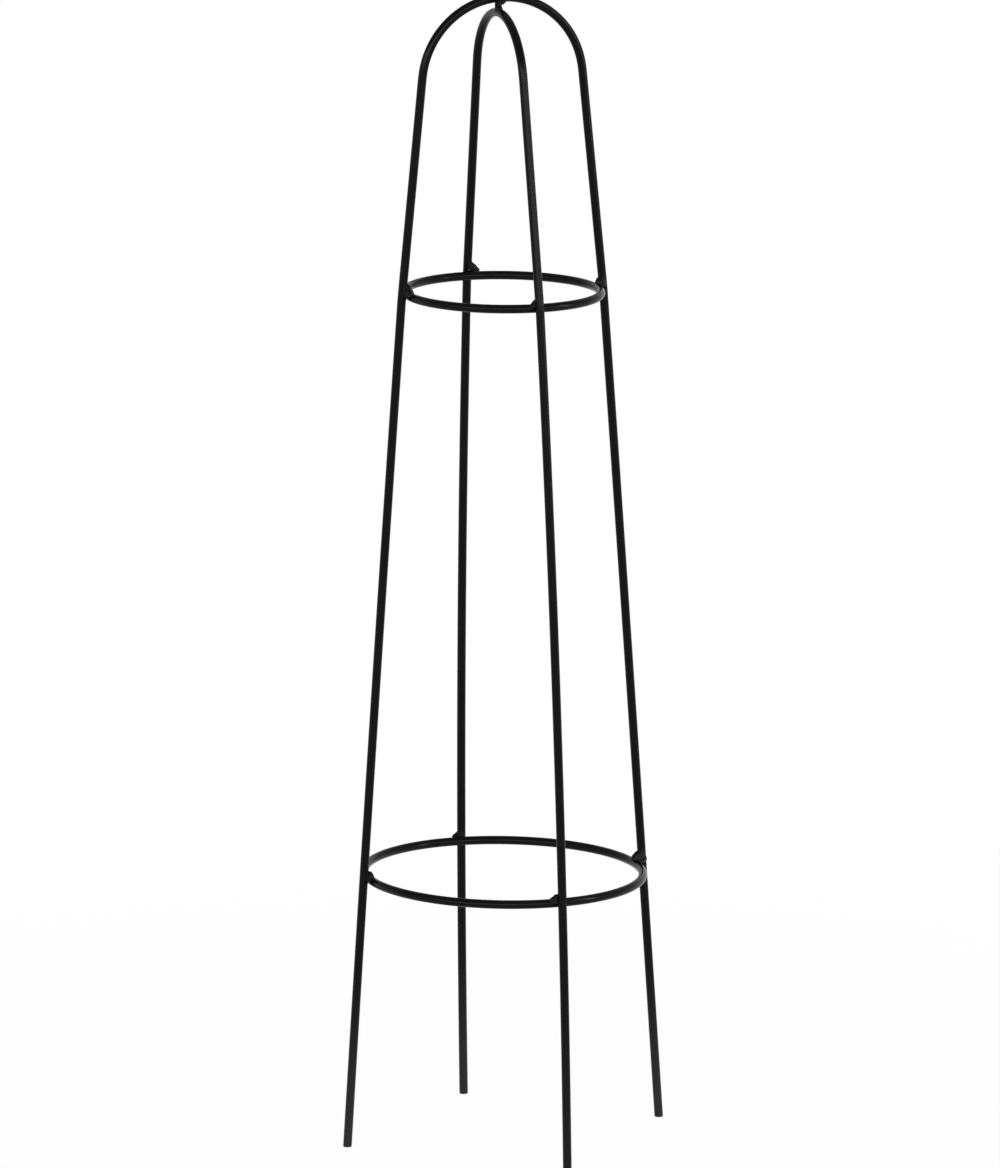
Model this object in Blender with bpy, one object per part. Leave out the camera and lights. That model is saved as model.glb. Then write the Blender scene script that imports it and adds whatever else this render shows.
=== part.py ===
"""Garden obelisk of round steel bar: two crossing hoops, two rings inside the legs, and their welds.

The frame stands on the ground plane with its axis on Z. The outer hoop lies along X, with a left leg
at -X and a right leg at +X. The inner hoop lies along Y, with a front leg at -Y and a back leg at +Y.
"""
import math
from dataclasses import dataclass

import bmesh
import bpy
from mathutils import Matrix, Vector

# Bar and fits, in metres
BAR_DIAMETER = 0.009
CLEARANCE = 0.0003

# Hoops: heights and radii of the bar's centreline. The inner one crosses a little to the left of the
# outer one's apex, and leans to the right on its way down, as the frame was welded.
CROWN_HEIGHT = 1.192
CROWN_GAP = 0.0065
OUTER_BEND_RADIUS = 0.087
INNER_BEND_RADIUS = 0.070
OUTER_FOOT_RADIUS = 0.1725
INNER_FOOT_RADIUS = 0.158
INNER_HOOP_SHIFT = -0.0035
INNER_HOOP_LEAN = math.radians(0.75)
FOOT_EDGE_BREAK = 0.0005
FOOT_SPARE = 0.010

# Rings: heights and radii of the bar's centreline, and how far the welded ring tips down to the right
UPPER_RING_HEIGHT = 0.888
UPPER_RING_RADIUS = 0.1001
UPPER_RING_TILT = math.radians(0.6)
LOWER_RING_HEIGHT = 0.278
LOWER_RING_RADIUS = 0.1442
LOWER_RING_TILT = math.radians(1.0)

# The butt joint that closes each ring, and how far along the ring it lies from the front leg's seat
RING_ROOT_GAP = 0.002
RING_JOINT_OFFSET = 0.0034

# Stub between the crowns
SPACER_DIAMETER = 0.0074
SPACER_SHIFT = -0.0045

# Weld metal: ripples, as a share of the bead's size, and how far a fillet runs down beside a ring
WELD_RIPPLE = 0.06
WELD_RIPPLE_COUNT = 4
WELD_TOE = 0.0035
CROWN_WELD_REACH = 0.0045
CROWN_WELD_BACK = 0.0018
CROWN_WELD_THROAT = 0.0034
CROWN_WELD_RISE = 0.0032
CROWN_WELD_FULLNESS = 1.3

# Facets
BAR_SIDES = 16
LEG_STEPS = 12
BEND_STEPS = 14
UPPER_RING_SEGMENTS = 64
LOWER_RING_SEGMENTS = 80
WELD_SUBDIVISIONS = 3
MERGE_DISTANCE = 0.00001
SMOOTH_ANGLE = math.radians(40)

BLACK_COAT = (0.010, 0.010, 0.011, 1.0)
WELD_COAT = (0.014, 0.014, 0.015, 1.0)
COAT_ROUGHNESS = 0.35
WELD_ROUGHNESS = 0.4


@dataclass(frozen=True)
class Ring:
    """A rolled ring, tipped about Y so that its +X side sits lower."""
    name: str
    height: float
    radius: float
    tilt: float
    segments: int

    def seat(self):
        """Distance from the axis to the centreline of a leg that rests on the ring's outside."""
        return self.radius + BAR_DIAMETER + CLEARANCE

    def height_at(self, x):
        """Height of the ring's plane above a point x to the side of the axis."""
        return self.height - x * math.tan(self.tilt)


@dataclass(frozen=True)
class Hoop:
    """A bar bent to an inverted U in the upright plane at an azimuth.

    Its crown lies at a shift to +X from the axis, and its plane leans from there toward +X.
    """
    name: str
    azimuth: float
    crown_height: float
    bend_radius: float
    foot_radius: float
    shift: float
    lean: float

    def sideways(self, height):
        """How far to +X the leaning plane lies at a height."""
        return self.shift + (self.crown_height - height) * math.tan(self.lean)

    def contact(self, ring, side):
        """Point of the leg's centreline where it rests on a ring."""
        seat = ring.seat()
        if self.azimuth == 0:
            return Vector((side * seat, 0, ring.height_at(side * seat)))
        x = self.sideways(ring.height)
        return Vector((x, side * math.sqrt(seat ** 2 - x ** 2), ring.height_at(x)))

    def in_plane(self, point):
        """Distance from the axis and height of a point of this hoop, within its own plane."""
        reach = point.x if self.azimuth == 0 else point.y
        return abs(reach), point.z

    def placement(self):
        """World matrix of the hoop's own frame, whose origin is the crown."""
        turn = Matrix.Rotation(self.azimuth, 4, "Z")
        lean = Matrix.Rotation(-self.lean, 4, "Y")
        return Matrix.Translation((self.shift, 0, self.crown_height)) @ lean @ turn


@dataclass(frozen=True)
class Fillet:
    """Weld metal in the corner above a ring, beside the leg that rests on the ring's outside.

    Its root is at the leg's edge on one side: +1 is counter-clockwise along the ring, seen from above.
    From there it reaches on along the ring, tails back across the leg, spreads inward over the ring and
    outward round the leg, and rises up the leg. A fullness of 1 gives flat faces, and less hollow ones.
    """
    side: int
    reach: float
    tail: float
    inward: float
    outward: float
    rise: float
    fullness: float


UPPER_RING = Ring("upper_ring", UPPER_RING_HEIGHT, UPPER_RING_RADIUS, UPPER_RING_TILT, UPPER_RING_SEGMENTS)
LOWER_RING = Ring("lower_ring", LOWER_RING_HEIGHT, LOWER_RING_RADIUS, LOWER_RING_TILT, LOWER_RING_SEGMENTS)
OUTER_HOOP = Hoop("outer_hoop", 0, CROWN_HEIGHT, OUTER_BEND_RADIUS, OUTER_FOOT_RADIUS, 0, 0)
INNER_HOOP = Hoop("inner_hoop", math.pi / 2, CROWN_HEIGHT - BAR_DIAMETER - CROWN_GAP,
                  INNER_BEND_RADIUS, INNER_FOOT_RADIUS, INNER_HOOP_SHIFT, INNER_HOOP_LEAN)
LEGS = {"right": (OUTER_HOOP, 1), "left": (OUTER_HOOP, -1), "back": (INNER_HOOP, 1), "front": (INNER_HOOP, -1)}

FILLETS = {
    (UPPER_RING, "right"): Fillet(side=-1, reach=0.0050, tail=0.0070, inward=0.0055, outward=0.0060,
                                  rise=0.0095, fullness=1.6),
    (UPPER_RING, "left"): Fillet(side=1, reach=0.0115, tail=0.0050, inward=0.0070, outward=0.0055,
                                 rise=0.0105, fullness=1.15),
    (UPPER_RING, "back"): Fillet(side=-1, reach=0.0085, tail=0.0070, inward=0.0045, outward=0.0035,
                                 rise=0.0115, fullness=1.0),
    (UPPER_RING, "front"): Fillet(side=-1, reach=0.0045, tail=0.0120, inward=0.0050, outward=0.0035,
                                  rise=0.0062, fullness=0.95),
    (LOWER_RING, "right"): Fillet(side=-1, reach=0.0060, tail=0.0085, inward=0.0100, outward=0.0060,
                                  rise=0.0120, fullness=1.4),
    (LOWER_RING, "left"): Fillet(side=1, reach=0.0060, tail=0.0050, inward=0.0065, outward=0.0035,
                                 rise=0.0085, fullness=1.3),
    (LOWER_RING, "back"): Fillet(side=1, reach=0.0075, tail=0.0075, inward=0.0045, outward=0.0035,
                                 rise=0.0062, fullness=1.0),
    (LOWER_RING, "front"): Fillet(side=-1, reach=0.0090, tail=0.0130, inward=0.0050, outward=0.0035,
                                  rise=0.0075, fullness=0.95),
}


def clear_scene():
    """Remove every object that the file opens with."""
    for thing in list(bpy.data.objects):
        bpy.data.objects.remove(thing, do_unlink=True)


def coat(thing, colour, roughness):
    """Give an object its own satin coating."""
    material = bpy.data.materials.new(thing.name + "_coat")
    material.use_nodes = True
    shader = material.node_tree.nodes["Principled BSDF"]
    shader.inputs["Base Color"].default_value = colour
    shader.inputs["Roughness"].default_value = roughness
    shader.inputs["Metallic"].default_value = 0.0
    material.diffuse_color = colour
    thing.data.materials.append(material)


def add_object(name, mesh, placement):
    """Put a mesh into the scene under a name, shaded smooth except at real edges."""
    mesh.shade_smooth()
    mesh.set_sharp_from_angle(angle=SMOOTH_ANGLE)
    thing = bpy.data.objects.new(name, mesh)
    thing.matrix_world = placement
    bpy.context.scene.collection.objects.link(thing)
    return thing


def bar_mesh(name, points, diameter, closed=False):
    """Mesh of a round bar whose centreline passes through points."""
    curve = bpy.data.curves.new(name, "CURVE")
    curve.dimensions = "3D"
    curve.bevel_depth = diameter / 2
    curve.bevel_resolution = (BAR_SIDES - 4) // 2
    curve.use_fill_caps = True
    spline = curve.splines.new("POLY")
    spline.points.add(len(points) - 1)
    for knot, point in zip(spline.points, points):
        knot.co = (*point, 1)
    spline.use_cyclic_u = closed
    carrier = bpy.data.objects.new(name + "_path", curve)
    bpy.context.scene.collection.objects.link(carrier)
    view = bpy.context.evaluated_depsgraph_get()
    mesh = bpy.data.meshes.new_from_object(carrier.evaluated_get(view))
    mesh.name = name
    bpy.data.objects.remove(carrier)
    bpy.data.curves.remove(curve)
    shape = bmesh.new()
    shape.from_mesh(mesh)
    bmesh.ops.remove_doubles(shape, verts=shape.verts, dist=MERGE_DISTANCE)
    shape.to_mesh(mesh)
    shape.free()
    return mesh


def cutter(name, points, diameter, placement, closed=False):
    """A bar grown by the clearance all round, which trims what is welded against it."""
    mesh = bar_mesh(name, points, diameter + 2 * CLEARANCE, closed)
    thing = add_object(name, mesh, placement)
    thing.hide_render = True
    thing.display_type = "WIRE"
    return thing


def trim(thing, tools):
    """Cut an object back from the bars that it sits on."""
    for tool in tools:
        cut = thing.modifiers.new("clear_of_" + tool.name, "BOOLEAN")
        cut.operation = "DIFFERENCE"
        cut.solver = "EXACT"
        cut.object = tool


def leg_profile(hoop, side):
    """Half of a hoop from below the ground to just short of the crown, as distance and height.

    Up to the upper ring the leg bows gently, on the parabola through its foot and its two seats.
    There it is pulled in, and runs straight on to touch the crown's bend.
    """
    lower, low_height = hoop.in_plane(hoop.contact(LOWER_RING, side))
    upper, high_height = hoop.in_plane(hoop.contact(UPPER_RING, side))
    foot_slope = (lower - hoop.foot_radius) / low_height
    span_slope = (upper - lower) / (high_height - low_height)
    bow = (span_slope - foot_slope) / high_height
    heights = [-FOOT_SPARE] + [high_height * step / LEG_STEPS for step in range(1, LEG_STEPS + 1)]
    profile = []
    for height in heights:
        reach = hoop.foot_radius + foot_slope * height + bow * height * (height - low_height)
        profile.append((reach, height))
    centre = hoop.crown_height - hoop.bend_radius
    drop = high_height - centre
    touch = math.atan2(drop, upper) + math.acos(hoop.bend_radius / math.hypot(upper, drop))
    for step in range(BEND_STEPS):
        angle = touch + (math.pi / 2 - touch) * step / BEND_STEPS
        profile.append((hoop.bend_radius * math.cos(angle), centre + hoop.bend_radius * math.sin(angle)))
    return profile


def hoop_path(hoop):
    """Centreline of a whole hoop in its own frame, with the crown at the origin."""
    rising = [Vector((-reach, 0, height - hoop.crown_height)) for reach, height in leg_profile(hoop, -1)]
    falling = [Vector((reach, 0, height - hoop.crown_height)) for reach, height in leg_profile(hoop, 1)]
    return rising + [Vector((0, 0, 0))] + falling[::-1]


def make_hoop(hoop, ground):
    """Build one hoop, its feet cut level with the ground and their edges broken."""
    thing = add_object(hoop.name, bar_mesh(hoop.name, hoop_path(hoop), BAR_DIAMETER), hoop.placement())
    coat(thing, BLACK_COAT, COAT_ROUGHNESS)
    trim(thing, (ground,))
    edges = thing.modifiers.new("foot_edges", "BEVEL")
    edges.limit_method = "ANGLE"
    edges.angle_limit = SMOOTH_ANGLE
    edges.width = FOOT_EDGE_BREAK
    edges.segments = 1


def ground_block():
    """The ground under the frame, as a cutter."""
    side = OUTER_FOOT_RADIUS + INNER_FOOT_RADIUS + max(OUTER_FOOT_RADIUS, INNER_FOOT_RADIUS)
    depth = FOOT_SPARE + BAR_DIAMETER
    shape = bmesh.new()
    bmesh.ops.create_cube(shape, size=1)
    bmesh.ops.scale(shape, vec=(side, side, depth), verts=shape.verts)
    bmesh.ops.translate(shape, vec=(0, 0, -depth / 2), verts=shape.verts)
    mesh = bpy.data.meshes.new("ground")
    shape.to_mesh(mesh)
    shape.free()
    thing = add_object("ground", mesh, Matrix.Identity(4))
    thing.hide_render = True
    thing.display_type = "WIRE"
    return thing


def ring_placement(ring):
    """World matrix of a ring's own frame, tipped about Y."""
    return Matrix.Translation((0, 0, ring.height)) @ Matrix.Rotation(ring.tilt, 4, "Y")


def ring_point(ring, angle):
    """Point of a ring's centreline in its own frame."""
    return Vector((ring.radius * math.cos(angle), ring.radius * math.sin(angle), 0))


def make_ring(ring):
    """Build one ring, left open by the root gap behind the front leg, and the weld that closes it."""
    hoop, side = LEGS["front"]
    seat = hoop.contact(ring, side)
    joint = math.atan2(seat.y, seat.x) + RING_JOINT_OFFSET / ring.radius
    half_gap = RING_ROOT_GAP / 2 / ring.radius
    step = 2 * math.pi / ring.segments
    angles = [joint + half_gap] + [joint + step * k for k in range(1, ring.segments)]
    angles.append(joint + 2 * math.pi - half_gap)
    placement = ring_placement(ring)
    mesh = bar_mesh(ring.name, [ring_point(ring, angle) for angle in angles], BAR_DIAMETER)
    coat(add_object(ring.name, mesh, placement), BLACK_COAT, COAT_ROUGHNESS)
    half_weld = half_gap - CLEARANCE / ring.radius
    ends = [ring_point(ring, joint - half_weld), ring_point(ring, joint + half_weld)]
    name = ring.name + "_closing_weld"
    coat(add_object(name, bar_mesh(name, ends, BAR_DIAMETER), placement), WELD_COAT, WELD_ROUGHNESS)


def ring_cutter(ring):
    """The whole ring, grown by the clearance."""
    step = 2 * math.pi / ring.segments
    points = [ring_point(ring, step * k) for k in range(ring.segments)]
    return cutter(ring.name + "_room", points, BAR_DIAMETER, ring_placement(ring), closed=True)


def weld_mesh(name, along, across, upright, fullness):
    """Lump of weld metal about the root of a joint.

    Each size is a pair of distances from the root, ahead and behind, along X, Y and Z. The surface is
    an octahedron with its points at those distances, its faces curved by the fullness, and shallow
    ripples run across the bead.
    """
    shape = bmesh.new()
    bmesh.ops.create_icosphere(shape, subdivisions=WELD_SUBDIVISIONS, radius=1)
    for vert in shape.verts:
        ray = vert.co.normalized()
        spread = 0
        for way, (ahead, behind) in zip(ray, (along, across, upright)):
            spread += abs(way / (ahead if way > 0 else behind)) ** fullness
        ripple = 1 + WELD_RIPPLE * math.sin(WELD_RIPPLE_COUNT * math.pi * (ray.x - ray.z))
        vert.co = ray * ripple / spread ** (1 / fullness)
    mesh = bpy.data.meshes.new(name)
    shape.to_mesh(mesh)
    shape.free()
    return mesh


def frame_matrix(origin, along, up):
    """Matrix of a frame with X along the bead and Z up."""
    across = up.cross(along).normalized()
    axes = Matrix((along.normalized(), across, along.cross(across).normalized())).transposed()
    return Matrix.Translation(origin) @ axes.to_4x4()


def make_ring_weld(ring, leg, fillet, tools):
    """Build the fillet in the corner above a ring, at the edge of the leg that rests on it."""
    hoop, side = LEGS[leg]
    seat = hoop.contact(ring, side)
    outward = Vector((seat.x, seat.y, 0)).normalized()
    up = Vector((0, 0, 1))
    along = up.cross(outward) * fillet.side
    root = seat - outward * (BAR_DIAMETER + CLEARANCE) / 2 + (along + up) * BAR_DIAMETER / 2
    across = (fillet.inward, fillet.outward)
    if fillet.side < 0:
        across = across[::-1]
    name = ring.name + "_weld_" + leg
    mesh = weld_mesh(name, (fillet.reach, fillet.tail), across, (fillet.rise, WELD_TOE), fillet.fullness)
    thing = add_object(name, mesh, frame_matrix(root, along, up))
    coat(thing, WELD_COAT, WELD_ROUGHNESS)
    trim(thing, tools)


def make_crown_weld(name, height, along, up, tools):
    """Build the fillet at one end of the spacer, on the side that the bead runs to."""
    root = Vector((SPACER_SHIFT, 0, height)) + along * SPACER_DIAMETER / 2
    rise = min(CROWN_WELD_RISE, (CROWN_GAP - CLEARANCE) / 2)
    mesh = weld_mesh(name, (CROWN_WELD_REACH, CROWN_WELD_BACK), (CROWN_WELD_THROAT, CROWN_WELD_THROAT),
                     (rise, rise), CROWN_WELD_FULLNESS)
    thing = add_object(name, mesh, frame_matrix(root, along, up))
    coat(thing, WELD_COAT, WELD_ROUGHNESS)
    trim(thing, tools)


def main():
    """Build the whole obelisk."""
    clear_scene()
    ground = ground_block()
    for hoop in (OUTER_HOOP, INNER_HOOP):
        make_hoop(hoop, ground)
    for ring in (UPPER_RING, LOWER_RING):
        make_ring(ring)

    room = {}
    for hoop in (OUTER_HOOP, INNER_HOOP):
        room[hoop] = cutter(hoop.name + "_room", hoop_path(hoop), BAR_DIAMETER, hoop.placement())
    for ring in (UPPER_RING, LOWER_RING):
        room[ring] = ring_cutter(ring)

    stub = [Vector((SPACER_SHIFT, 0, hoop.crown_height)) for hoop in (INNER_HOOP, OUTER_HOOP)]
    spacer = add_object("crown_spacer", bar_mesh("crown_spacer", stub, SPACER_DIAMETER), Matrix.Identity(4))
    coat(spacer, BLACK_COAT, COAT_ROUGHNESS)
    trim(spacer, (room[OUTER_HOOP], room[INNER_HOOP]))
    spacer_room = cutter("crown_spacer_room", stub, SPACER_DIAMETER, Matrix.Identity(4))

    for (ring, leg), fillet in FILLETS.items():
        make_ring_weld(ring, leg, fillet, (room[LEGS[leg][0]], room[ring]))
    ceiling = OUTER_HOOP.crown_height - BAR_DIAMETER / 2
    floor = INNER_HOOP.crown_height + BAR_DIAMETER / 2
    make_crown_weld("crown_weld_upper", ceiling, Vector((1, 0, 0)), Vector((0, 0, -1)),
                    (room[OUTER_HOOP], spacer_room))
    make_crown_weld("crown_weld_lower", floor, Vector((0, -1, 0)), Vector((0, 0, 1)),
                    (room[INNER_HOOP], spacer_room))


main()
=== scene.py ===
"""Looks of a garden obelisk: bent round bar, rolled rings and hand-laid welds under a satin black coat.

The outer hoop lies along X and the inner one along Y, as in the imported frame. Sizes are in metres.
"""

import logging
import math
from abc import ABC, abstractmethod
from dataclasses import dataclass
from enum import Enum
from typing import ClassVar

import bpy
import numpy as np
import numpy.typing as npt
from mathutils import Matrix, Vector


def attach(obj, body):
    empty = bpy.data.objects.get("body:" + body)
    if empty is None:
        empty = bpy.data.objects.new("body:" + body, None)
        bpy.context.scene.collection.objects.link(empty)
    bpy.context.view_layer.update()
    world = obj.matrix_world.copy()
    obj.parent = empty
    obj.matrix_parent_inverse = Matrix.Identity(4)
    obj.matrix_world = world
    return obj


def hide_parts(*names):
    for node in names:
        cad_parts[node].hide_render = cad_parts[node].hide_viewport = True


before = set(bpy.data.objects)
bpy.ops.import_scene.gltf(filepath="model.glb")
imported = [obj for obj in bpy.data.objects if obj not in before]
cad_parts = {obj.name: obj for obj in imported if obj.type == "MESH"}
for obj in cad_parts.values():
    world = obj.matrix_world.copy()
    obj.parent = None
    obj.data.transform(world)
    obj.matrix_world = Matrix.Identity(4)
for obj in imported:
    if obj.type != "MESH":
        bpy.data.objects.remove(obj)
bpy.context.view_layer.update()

log = logging.getLogger("obelisk")

Array = npt.NDArray[np.float64]
Thing = bpy.types.Object
Socket = bpy.types.NodeSocket
Pair = tuple[float, float]
Triple = tuple[float, float, float]
Colour = Triple
Made = list[tuple[str, Thing]]

BAR_DIAMETER = 0.009
BAR_RADIUS = BAR_DIAMETER / 2
SEAT_CLEARANCE = 0.0003
SPACER_RADIUS = 0.0074 / 2
BODY = "root"
UP = np.array((0.0, 0.0, 1.0))
RIGHT = np.array((1.0, 0.0, 0.0))
TO_FRONT = np.array((0.0, -1.0, 0.0))
WAVE_COUNT = 14
WAVE_RATES = (0.7, 1.4)
BELL_REACH = 4
WHITE = (1.0, 1.0, 1.0, 1.0)


class Slot(Enum):
    """The record's material slots."""
    BAR = "bar_coat"
    WELD = "weld_coat"


class Leg(Enum):
    """The four legs: whether the leg is the outer hoop's, and which end of the hoop it is."""
    RIGHT = (True, 1)
    LEFT = (True, -1)
    BACK = (False, 1)
    FRONT = (False, -1)


# Arrays and meshes


def unit(vectors: Array) -> Array:
    """Vectors divided by their own lengths."""
    return vectors / np.linalg.norm(vectors, axis=-1, keepdims=True)


def turns(count: int) -> Array:
    """Even angles all round."""
    return 2 * math.pi * np.arange(count) / count


def arc(radius: float, angles: Array) -> Array:
    """Points of a flat circle about the origin: cosine and sine of each angle, times the radius."""
    return radius * np.stack((np.cos(angles), np.sin(angles)), axis=-1)


def smooth_step(share: Array) -> Array:
    """The share held from 0 to 1, then three times its square less twice its cube."""
    share = np.clip(share, 0, 1)
    return share * share * (3 - 2 * share)


def smooth_least(one: Array, other: Array, blend: float) -> Array:
    """The lesser of two fields, less a quarter of the blend times the square of how far they are into it."""
    near = np.maximum(blend - np.abs(one - other), 0) / blend
    return np.minimum(one, other) - near * near * blend / 4


def lumps(points: Array, size: float, seed: int) -> Array:
    """Smooth uneven heights, about from -1 to 1, at points in space.

    The sum of sine waves that run in seeded directions, each about as long as the size, over the root of
    twice their number.

    Args:
        points: places, with their three coordinates last.
        size: length of a wave.
        seed: picks the waves.

    Returns:
        One height for each point.
    """
    chance = np.random.default_rng(seed)
    ways = unit(chance.normal(size=(WAVE_COUNT, 3))) * (2 * math.pi / size)
    ways = ways * chance.uniform(*WAVE_RATES, (WAVE_COUNT, 1))
    phases = chance.uniform(0, 2 * math.pi, WAVE_COUNT)
    return np.sin(points @ ways.T + phases).sum(-1) / math.sqrt(2 * WAVE_COUNT)


def enclosed(vertices: Array, triangles: Array) -> float:
    """Signed volume: a sixth of the sum of the triple products of the triangles' corners."""
    a, b, c = (vertices[triangles[:, corner]] for corner in range(3))
    return float(np.einsum("ij,ij->i", a, np.cross(b, c)).sum() / 6)


def placed(name: str, data: bpy.types.ID) -> Thing:
    """A new object in the scene.

    Args:
        name: its name.
        data: its mesh, light or camera.

    Returns:
        The object, at the origin.
    """
    thing = bpy.data.objects.new(name, data)
    bpy.context.scene.collection.objects.link(thing)
    return thing


def skinned(name: str, rows: Array, first: Array, last: Array) -> Thing:
    """A closed mesh over a grid of points that wraps round, with a pole at each end.

    Args:
        name: the piece's name.
        rows: points by row and by place round the row.
        first: the pole before the first row.
        last: the pole after the last row.

    Returns:
        The piece's object, at the origin, with its faces outwards.
    """
    count, sides = rows.shape[:2]
    index = np.arange(count * sides).reshape(count, sides)
    beside = np.roll(index, -1, axis=1)
    quads = np.stack((index[:-1], beside[:-1], beside[1:], index[1:]), axis=-1).reshape(-1, 4)
    poles = np.full((2, sides), count * sides) + np.array([[0], [1]])
    fans = np.concatenate((np.stack((beside[0], index[0], poles[0]), axis=-1),
                           np.stack((index[-1], beside[-1], poles[1]), axis=-1)))
    vertices = np.vstack((rows.reshape(-1, 3), first, last))
    corners = np.concatenate((quads[:, :3], quads[:, [0, 2, 3]], fans))
    if enclosed(vertices - vertices.mean(0), corners) < 0:
        quads, fans = quads[:, ::-1], fans[:, ::-1]
    mesh = bpy.data.meshes.new(name)
    mesh.from_pydata(vertices.tolist(), [], quads.tolist() + fans.tolist())
    mesh.validate()
    mesh.shade_smooth()
    return placed(name, mesh)


def turned(matrix: Matrix, points: Array) -> Array:
    """Points carried by a placement matrix."""
    values = np.array(matrix, float)
    return points @ values[:3, :3].T + values[:3, 3]


def gaussian_run(points: Array, spread: float) -> Array:
    """Points along a run, each the bell-weighted mean of its neighbours, with the ends drawn on straight.

    Args:
        points: evenly spaced points.
        spread: the bell's width, in points.

    Returns:
        As many points, with corners rounded.
    """
    half = int(BELL_REACH * spread)
    bell = np.exp(-0.5 * (np.arange(-half, half + 1) / spread) ** 2)
    bell /= bell.sum()
    before = 2 * points[0] - points[half:0:-1]
    after = 2 * points[-1] - points[-2:-half - 2:-1]
    padded = np.vstack((before, points, after))
    return np.stack([np.convolve(padded[:, axis], bell, "valid") for axis in range(3)], axis=-1)


# Bars


@dataclass(frozen=True)
class Bend:
    """A short stretch of round bar near one place, as a point, a direction and a curvature."""
    point: Array
    way: Array
    curve: Array
    radius: float

    def distance(self, places: Array) -> Array:
        """How far places are from the bar's surface, negative inside.

        The centreline is the point, plus the way times the distance along, plus half the curvature times the
        square of that distance.

        Args:
            places: places, with their three coordinates last.

        Returns:
            One distance for each place.
        """
        along = (places - self.point) @ self.way
        centre = self.point + along[..., None] * self.way + along[..., None] ** 2 * self.curve / 2
        return np.linalg.norm(places - centre, axis=-1) - self.radius


@dataclass(frozen=True)
class Run:
    """The centreline of a bar, evenly sampled, and a direction that stays square to it."""
    points: Array
    square: Array
    radius: float

    def lengths(self) -> Array:
        """Distance along the run at each point."""
        steps = np.linalg.norm(np.diff(self.points, axis=0), axis=1)
        return np.concatenate(((0.0,), np.cumsum(steps)))

    def at(self, distances: Array) -> Array:
        """Points of the centreline at distances along it."""
        lengths = self.lengths()
        return np.stack([np.interp(distances, lengths, self.points[:, axis]) for axis in range(3)], axis=-1)

    def ways(self, distances: Array) -> Array:
        """Directions of the centreline at distances along it."""
        step = 0.001
        return unit(self.at(distances + step) - self.at(distances - step))

    def near(self, place: Array) -> Bend:
        """The stretch of bar nearest to a place, by three points of the centreline.

        Args:
            place: the place.

        Returns:
            The stretch, about its middle point.
        """
        lengths = self.lengths()
        nearest = np.linalg.norm(self.points - place, axis=1).argmin()
        step = 0.004
        here = np.clip(lengths[nearest], 2 * step, lengths[-1] - 2 * step)
        before, middle, after = self.at(np.array((here - step, here, here + step)))
        return Bend(middle, unit(after - before), (before + after - 2 * middle) / step ** 2, self.radius)

    def rows(self, distances: Array, radii: Array, sides: int, level: Array | None = None) -> Array:
        """Circles round the centreline, as rows of points.

        Each point is the centre plus its radius times the cosine and sine of an even angle, along the square
        direction and across it. A levelled circle is slid along the bar until it lies flat.

        Args:
            distances: where each circle stands along the run.
            radii: one radius for each circle.
            sides: points in a circle.
            level: how far each circle is levelled, from 0, square to the bar, to 1, flat.

        Returns:
            Points by row and by place round the bar.
        """
        centres, ways = self.at(distances), self.ways(distances)
        across = unit(np.cross(ways, self.square))
        square = np.cross(across, ways)
        angles = turns(sides)[:, None]
        offset = np.cos(angles) * square[:, None] + np.sin(angles) * across[:, None]
        offset = offset * radii[:, None, None]
        if level is not None:
            slide = -level[:, None] * offset[..., 2] / ways[:, None, 2]
            offset = offset + slide[..., None] * ways[:, None]
        return centres[:, None] + offset


# Shader building


class Value:
    """A socket of one number, whose sums are written as Python sums."""

    def __init__(self, shading: "Shading", socket: Socket) -> None:
        """Hold a socket and the shading that it belongs to."""
        self.shading = shading
        self.socket = socket

    def sum(self, operation: str, left: "Value | float", right: "Value | float") -> "Value":
        """One Math node on two numbers."""
        return self.shading.value("ShaderNodeMath", {0: left, 1: right}, operation=operation)

    def __add__(self, other: "Value | float") -> "Value":
        """This plus another."""
        return self.sum("ADD", self, other)

    def __sub__(self, other: "Value | float") -> "Value":
        """This less another."""
        return self.sum("SUBTRACT", self, other)

    def __rsub__(self, other: float) -> "Value":
        """Another less this."""
        return self.sum("SUBTRACT", other, self)

    def __mul__(self, other: "Value | float") -> "Value":
        """This times another."""
        return self.sum("MULTIPLY", self, other)

    __radd__, __rmul__ = __add__, __mul__

    def most(self, other: "Value | float") -> "Value":
        """The greater of this and another."""
        return self.sum("MAXIMUM", self, other)

    def between(self, low: float, high: float) -> "Value":
        """How far this is on its way from low to high, smoothly from 0 to 1."""
        sockets = {"Value": self, "From Min": low, "From Max": high}
        return self.shading.value("ShaderNodeMapRange", sockets, interpolation_type="SMOOTHSTEP")

    def span(self, low: float, high: float) -> "Value":
        """Low where this is 0, high where it is 1, and evenly between."""
        return self * (high - low) + low

    def blend(self, other: "Value", share: float) -> "Value":
        """A share of this, and the rest of another."""
        return self * share + other * (1 - share)


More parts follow.
